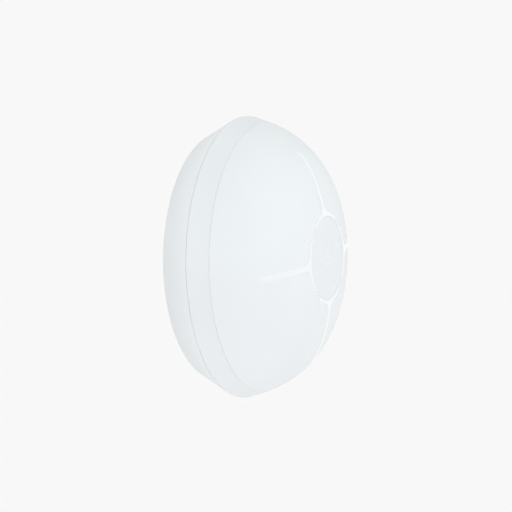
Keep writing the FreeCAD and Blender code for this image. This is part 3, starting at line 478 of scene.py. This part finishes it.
def make_seal(finish):
    """Rubber seal with a rounded lip in front and a shallow waist on both sides."""
    half_width = 0.9 * MM
    waist = 0.18 * MM
    edge = 0.15 * MM             # small chamfer at the rear
    lip_steps = 12
    low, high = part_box("seal_ring")
    middle = high.x - half_width
    lip_root = low.y + half_width
    back = high.y

    def waist_side(direction, shares):
        radius = middle + direction * (half_width - waist)
        return [(radius, lip_root + (back - lip_root) * share) for share in shares]

    outline = []
    for step in range(lip_steps + 1):
        angle = math.pi * step / lip_steps
        outline.append((middle + half_width * math.cos(angle), lip_root - half_width * math.sin(angle)))
    outline += waist_side(-1, (0.3, 0.5, 0.7))
    outline += [
        (middle - half_width, back - edge),
        (middle - half_width + edge, back),
        (middle + half_width - edge, back),
        (middle + half_width, back - edge),
    ]
    outline += waist_side(1, (0.7, 0.5, 0.3))
    piece = lathe("seal_rubber_ring", outline, 180, finish)
    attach(piece, "seal")
    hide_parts("seal_ring")


def coil_points(radius, wire, start, end, turns, steps, around):
    """Rings of points round a coil of wire about the Y axis, from start to end along Y."""
    flattening = 0.6             # how flat the coil lies at its ends: 0 evenly pitched, 1 fully flat
    points = []
    for step in range(steps + 1):
        share = step / steps
        eased = share - math.sin(2 * math.pi * share) / (2 * math.pi) * flattening
        angle = 2 * math.pi * turns * share
        outward = Vector((math.cos(angle), 0.0, math.sin(angle)))
        centre = outward * radius + Vector((0.0, start + (end - start) * eased, 0.0))
        for place in range(around):
            turn = 2 * math.pi * place / around
            along = Vector((0.0, wire * math.sin(turn), 0.0))
            points.append(centre + outward * wire * math.cos(turn) + along)
    return points


def make_tamper_coil(finish):
    """Wire coil between the board and the plunger's flange."""
    wire = 0.25 * MM             # radius of the wire
    turns = 4.5
    steps = 216
    around = 12
    low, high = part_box("tamper_spring")
    points = coil_points(high.x - wire, wire, high.y - wire, low.y + wire, turns, steps, around)
    faces = closed_grid(steps + 1, around, False)
    faces.append(tuple(range(around)))
    faces.append(tuple(reversed(range(steps * around, (steps + 1) * around))))
    piece = mesh_piece("tamper_coil", points, faces, finish)
    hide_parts("tamper_spring")
    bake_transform(piece)


# ---- studio ------------------------------------------------------------------------------------
BACKDROP = 0.939                 # linear brightness of the pale background
LIGHT_TINT = (0.98, 1.0, 1.0, 1.0)
SKY_BRIGHTNESS = 0.785           # the same all round
SOFT_BOXES = [                   # direction, how narrow, brightness added to the sky
    ((0.0, -1.0, 0.0), 2.0, 0.79),
    ((-1.0, -0.2, 0.0), 8.0, 1.31),
    ((0.0, 1.0, 0.0), 2.0, 0.31),
    ((0.6, -0.8, 0.0), 4.0, 0.24),
    ((-0.3, 0.5, 0.8), 4.0, 0.12),
]
LOW_LIGHT_TINT = (0.94, 1.0, 1.0)
LOW_LIGHT_WATTS = 0.085
LOW_LIGHT_SIZE = 0.3
LOW_LIGHT_DROP = 0.2             # below the sensor


def make_sky():
    """Even studio dome with a few broad soft boxes; the camera sees it as a plain pale backdrop."""
    world = bpy.data.worlds.new("studio")
    bpy.context.scene.world = world
    world.use_nodes = True
    tree = world.node_tree
    tree.nodes.clear()
    direction = tree.nodes.new("ShaderNodeTexCoord").outputs["Generated"]

    def number(operation, first, second):
        node = tree.nodes.new("ShaderNodeMath")
        node.operation = operation
        tree.links.new(first, node.inputs[0])
        if isinstance(second, bpy.types.NodeSocket):
            tree.links.new(second, node.inputs[1])
        else:
            node.inputs[1].default_value = second
        return node.outputs[0]

    def background(colour):
        node = tree.nodes.new("ShaderNodeBackground")
        node.inputs["Color"].default_value = colour
        return node

    brightness = SKY_BRIGHTNESS
    for axis, narrowness, strength in SOFT_BOXES:
        facing = tree.nodes.new("ShaderNodeVectorMath")
        facing.operation = "DOT_PRODUCT"
        tree.links.new(direction, facing.inputs[0])
        facing.inputs[1].default_value = Vector(axis).normalized()
        glow = number("POWER", number("MAXIMUM", facing.outputs["Value"], 0.0), narrowness)
        brightness = number("ADD", number("MULTIPLY", glow, strength), brightness)
    light = background(LIGHT_TINT)
    tree.links.new(brightness, light.inputs["Strength"])
    backdrop = background((BACKDROP, BACKDROP, BACKDROP, 1.0))
    seen = tree.nodes.new("ShaderNodeLightPath")
    mix = tree.nodes.new("ShaderNodeMixShader")
    tree.links.new(seen.outputs["Is Camera Ray"], mix.inputs[0])
    tree.links.new(light.outputs[0], mix.inputs[1])
    tree.links.new(backdrop.outputs[0], mix.inputs[2])
    output = tree.nodes.new("ShaderNodeOutputWorld")
    tree.links.new(mix.outputs[0], output.inputs["Surface"])


def make_low_light():
    """Soft light from below, out of the camera's sight."""
    data = bpy.data.lights.new("low_light", "AREA")
    data.size = LOW_LIGHT_SIZE
    data.energy = LOW_LIGHT_WATTS
    data.color = LOW_LIGHT_TINT
    lamp = bpy.data.objects.new("low_light", data)
    lamp.location = (0.0, (cad_box[0].y + cad_box[1].y) / 2, cad_box[0].z - LOW_LIGHT_DROP)
    lamp.rotation_euler = (math.pi, 0.0, 0.0)
    lamp.visible_camera = False
    bpy.context.scene.collection.objects.link(lamp)


FLOOR_DROP = 0.3                 # the sensor hangs this far above the floor
FLOOR_HALF = 6.0
FLOOR_TONE = (0.955, 0.933, 0.934)


def make_floor():
    """Plain pale floor, as bright as the backdrop."""
    look = Look("floor", specular_ior_level=0.0)
    look.colour(look.blend(look.noise(0.6), shade(FLOOR_TONE, 0.996), shade(FLOOR_TONE, 1.004)))
    look.roughness(0.9)
    level = cad_box[0].z - FLOOR_DROP
    corners = []
    for x, y in ((-1, -1), (1, -1), (1, 1), (-1, 1)):
        corners.append(Vector((x * FLOOR_HALF, y * FLOOR_HALF, level)))
    mesh_piece("floor", corners, [(0, 1, 2, 3)], look)


CAMERA_AZIMUTH = -65.15          # degrees; 0 looks straight at the sensor's face
CAMERA_ELEVATION = 2.19
CAMERA_DISTANCE = 0.4457
CAMERA_LENS = 104.84
CAMERA_SENSOR = 36.0             # mm, as the lens
AIM_RIGHT = 1.61 * MM            # the camera aims this far off the middle of the first seam
AIM_UP = 0.27 * MM


def make_camera():
    """Aimed close to the middle of the seam between rear shell and head."""
    azimuth = math.radians(CAMERA_AZIMUTH)
    elevation = math.radians(CAMERA_ELEVATION)
    back = Vector((math.sin(azimuth) * math.cos(elevation),
                   -math.cos(azimuth) * math.cos(elevation),
                   math.sin(elevation)))
    turn = (-back).to_track_quat("-Z", "Y")
    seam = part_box("rear_shell")[0].y
    target = Vector((0.0, seam, 0.0)) + turn @ Vector((AIM_RIGHT, AIM_UP, 0.0))
    data = bpy.data.cameras.new("camera")
    data.lens = CAMERA_LENS
    data.sensor_width = CAMERA_SENSOR
    data.clip_start = 0.01
    data.clip_end = 50.0
    camera = bpy.data.objects.new("camera", data)
    camera.location = target + back * CAMERA_DISTANCE
    camera.rotation_mode = "QUATERNION"
    camera.rotation_quaternion = turn
    bpy.context.scene.collection.objects.link(camera)
    bpy.context.scene.camera = camera


# ---- put together ------------------------------------------------------------------------------
finishes = make_finishes()
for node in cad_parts.values():
    for material_slot in node.material_slots:
        material_slot.material = finishes[material_slot.material.name].material

make_seal(finishes["seal_rubber"])
make_tamper_coil(finishes["spring_steel"])
make_sky()
make_low_light()
make_floor()
make_camera()
bpy.context.scene.view_settings.view_transform = "Standard"
